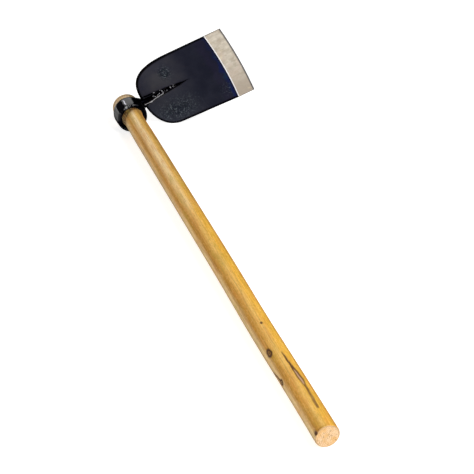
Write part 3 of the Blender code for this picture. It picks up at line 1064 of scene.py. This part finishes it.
def blade_material():
    """Satin blue-black plate with temper colours beside its bare, ground bevel."""
    s = Shading("blue_black_steel", Specular_IOR_Level=0.07)
    place = s.attribute("tool", "Vector")
    from_bevel = s.attribute("from_bevel")
    across = s.node("ShaderNodeSeparateXYZ", {0: place}).outputs[2]
    near_side = s.minus(1.0, s.attribute("far_side"))
    bare = s.times(s.spread(from_bevel, -0.0002, 0.0003), near_side)

    cloud = s.noise(place, 28.0, 5.0, 0.6)
    speckle = s.noise(place, 420.0, 4.0, 0.65)
    plate = s.mix(s.spread(cloud, 0.32, 0.68), (0.020, 0.021, 0.034), (0.034, 0.034, 0.042))
    dark = s.mix(s.spread(cloud, 0.35, 0.7), (0.0035, 0.0045, 0.013), (0.009, 0.010, 0.020))
    scale = s.attribute("scale")
    flecks = s.spread(s.noise(place, 330.0, 3.0, 0.6), 0.52, 0.61)
    blotches = s.spread(s.noise(place, 120.0, 3.0, 0.6), 0.50, 0.40)
    pits = s.spread(s.noise(place, 290.0, 2.0, 0.6), 0.54, 0.44)
    plate = s.layered(
        plate,
        (s.spread(across, 0.012, -0.020, 0.0, 0.60), (0.014, 0.016, 0.026)),
        (s.spread(speckle, 0.55, 0.78, 0.0, 0.5), (0.034, 0.033, 0.038)),
        (s.spread(from_bevel, -0.118, -0.050), dark),
        (s.times(scale, flecks, 0.90), (0.094, 0.116, 0.132)),
        (s.times(scale, blotches, 0.7), (0.004, 0.005, 0.014)),
        (s.times(scale, pits, 0.9), (0.002, 0.006, 0.010)),
    )

    wander = s.times(s.minus(s.noise(place, 55.0, 3.0), 0.5), 0.022)
    band = s.plus(from_bevel, wander)
    low_side = s.spread(across, 0.050, -0.020, 0.45, 1.0)
    violet = s.times(s.spread(band, -0.030, -0.018), s.spread(band, -0.006, -0.016))
    blue = s.times(s.spread(band, -0.0125, -0.0035), low_side)
    drifts = s.spread(s.noise(place, 70.0, 3.0), 0.56, 0.70)
    teal = s.times(drifts, s.spread(band, -0.020, -0.006))
    plate = s.layered(
        plate,
        (s.times(violet, 0.25), (0.013, 0.008, 0.034)),
        (s.times(blue, 0.95), (0.0003, 0.004, 0.050)),
        (s.times(teal, 0.50), (0.003, 0.020, 0.045)),
        (s.spread(from_bevel, -0.0040, -0.0012, 0.0, 0.75), (0.001, 0.002, 0.010)),
    )

    grit = s.noise(s.stretched(place, (0.10, 0.10, 1.0)), 900.0, 3.0, 0.6)
    stain = s.noise(s.stretched(place, (0.6, 0.6, 1.0)), 85.0, 5.0, 0.65)
    steel = s.mix(s.spread(stain, 0.35, 0.65), (0.38, 0.335, 0.265), (0.56, 0.51, 0.43))
    pink = s.spread(s.noise(place, 66.0, 3.0), 0.50, 0.64, 0.0, 0.6)
    mottle = s.noise(place, 210.0, 3.0, 0.6)
    tan = s.spread(s.noise(place, 48.0, 3.0), 0.58, 0.72, 0.0, 0.6)
    bright = s.times(s.spread(from_bevel, 0.0, 0.0004), s.spread(from_bevel, 0.0022, 0.0012))
    # A darker band along the cutting edge.
    dark_edge_band = s.spread(s.attribute("from_edge"), 0.0040, 0.0018)
    steel = s.layered(
        steel,
        (pink, (0.50, 0.41, 0.34)),
        (s.spread(mottle, 0.52, 0.66, 0.0, 0.28), (0.44, 0.36, 0.28)),
        (s.spread(mottle, 0.46, 0.34, 0.0, 0.26), (0.68, 0.62, 0.50)),
        (s.spread(across, 0.000, -0.072, 0.0, 0.95), (0.34, 0.285, 0.225)),
        (tan, (0.60, 0.50, 0.33)),
        (s.spread(grit, 0.35, 0.7, 0.0, 0.35), (0.38, 0.345, 0.30)),
        (s.times(bright, 0.8), (0.85, 0.86, 0.92)),
        (s.times(dark_edge_band, 0.90), (0.070, 0.068, 0.070)),
    )
    # Painted shade: a near-black band along the plate's outline, made black metal so that it
    # shows no reflection, and a darker band along the bare steel's outline.
    rim = s.attribute("rim")
    thinner = s.times(s.spread(from_bevel, -0.130, -0.040), s.spread(across, 0.0, 0.030))
    rim = s.plus(rim, s.times(thinner, 0.0020))
    painted_rim_shade = s.spread(rim, 0.0060, 0.0031)
    plate = s.mix(s.times(painted_rim_shade, 0.97), plate, (0.001, 0.001, 0.002))
    steel = s.mix(s.spread(rim, 0.0016, 0.0006, 0.0, 0.6), steel, (0.12, 0.12, 0.13))
    s.shade("Base Color", s.mix(bare, plate, steel))
    keep = s.minus(1.0, bare)
    painted_rim_shade = s.times(painted_rim_shade, keep)
    s.shade("Metallic", s.math("ADD", s.times(bare, 0.80), painted_rim_shade, clamp=True))

    satin = s.spread(cloud, 0.3, 0.7, 0.36, 0.52)
    satin = s.plus(satin, s.times(scale, 0.10))
    ground = s.spread(grit, 0.3, 0.7, 0.30, 0.46)
    rough = s.plus(s.times(satin, keep), s.times(ground, bare))
    s.shade("Roughness", rough)
    relief = s.times(s.noise(place, 300.0, 3.0, 0.7), scale, 1.5)
    relief = s.plus(relief, s.times(speckle, 0.35))
    relief = s.plus(s.times(relief, keep), s.times(grit, bare, 0.25))
    s.bump(relief, 0.00018, 0.7)
    return s.material


def floor_material():
    """White sheet lit from behind as well, so that shadows on it stay faint."""
    s = Shading("pale_floor", Specular_IOR_Level=0.0, Roughness=1.0, Emission_Strength=0.78)
    s.shade("Base Color", (0.62, 0.62, 0.62, 1.0))
    s.shade("Emission Color", (1.0, 1.0, 1.0, 1.0))
    return s.material


# -------- stage


def add_floor():
    corners = [(12.0 * x, 12.0 * y, 0.0) for x, y in ((-1, -1), (1, -1), (1, 1), (-1, 1))]
    mesh = bpy.data.meshes.new("floor")
    mesh.from_pydata(corners, [], [(0, 1, 2, 3)])
    mesh.materials.append(floor_material())
    floor = bpy.data.objects.new("floor", mesh)
    bpy.context.scene.collection.objects.link(floor)


def add_softbox(name, place, target, size, power, colour=(1.0, 1.0, 1.0)):
    light = bpy.data.lights.new(name, "AREA")
    light.shape = "RECTANGLE"
    light.size, light.size_y = size
    light.energy = power
    light.color = colour
    lamp = bpy.data.objects.new(name, light)
    lamp.location = place
    aim = Vector(target) - Vector(place)
    lamp.rotation_euler = aim.to_track_quat("-Z", "Y").to_euler()
    bpy.context.scene.collection.objects.link(lamp)


def add_lights():
    world = bpy.data.worlds.new("studio")
    bpy.context.scene.world = world
    world.use_nodes = True
    background = world.node_tree.nodes["Background"]
    background.inputs["Color"].default_value = (0.95, 0.97, 1.0, 1.0)
    background.inputs["Strength"].default_value = 0.03
    middle = (0.0, 0.0, 0.0)
    add_softbox("key", (1.30, -1.60, 2.90), middle, (2.0, 2.0), 120.0, (1.0, 0.98, 0.95))
    add_softbox("front", (-1.40, -3.20, 2.20), middle, (1.6, 1.2), 50.0)
    add_softbox("back_left", (-0.57, 2.27, 1.18), middle, (0.09, 0.26), 0.65, (0.90, 0.88, 1.0))
    add_softbox("overhead", (-0.08, 2.15, 1.55), middle, (1.5, 1.8), 11.0)


def add_camera():
    data = bpy.data.cameras.new("camera")
    data.lens = CAMERA_LENS
    data.sensor_width = 36.0
    cos, sin = math.cos(CAMERA_ELEVATION), math.sin(CAMERA_ELEVATION)
    away = Vector((math.sin(CAMERA_AZIMUTH) * cos, -math.cos(CAMERA_AZIMUTH) * cos, sin))
    camera = bpy.data.objects.new("camera", data)
    camera.location = Vector(CAMERA_TARGET) + away * CAMERA_DISTANCE
    level = (-away).to_track_quat("-Z", "Y").to_matrix()
    camera.rotation_euler = (level @ Matrix.Rotation(CAMERA_ROLL, 3, "Z")).to_euler()
    bpy.context.scene.collection.objects.link(camera)
    bpy.context.scene.camera = camera


# -------- putting it together


def place(piece, body, node, slot):
    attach(piece, body)
    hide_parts(node)


def main():
    wood = wood_material()
    gloss = gloss_material("glossy_black_forging", 0.04)
    bead = gloss_material("painted_weld", 0.12)
    steel = blade_material()
    place(build_handle(wood), "handle", "handle", "handle_wood")
    place(build_forging(gloss), "head", "eye_collar", "forging_paint")
    place(build_blade(steel), "head", "blade", "blade_steel")
    for name, side in (("weld_upper", 1.0), ("weld_lower", -1.0)):
        node = name.replace("weld", "weld_bead")
        place(build_side_weld(name, side, bead), "head", node, "weld_paint")
    place(build_root_weld(bead), "head", "weld_bead_root", "weld_paint")
    add_floor()
    add_lights()
    add_camera()
    bpy.context.scene.view_settings.view_transform = "Standard"


main()
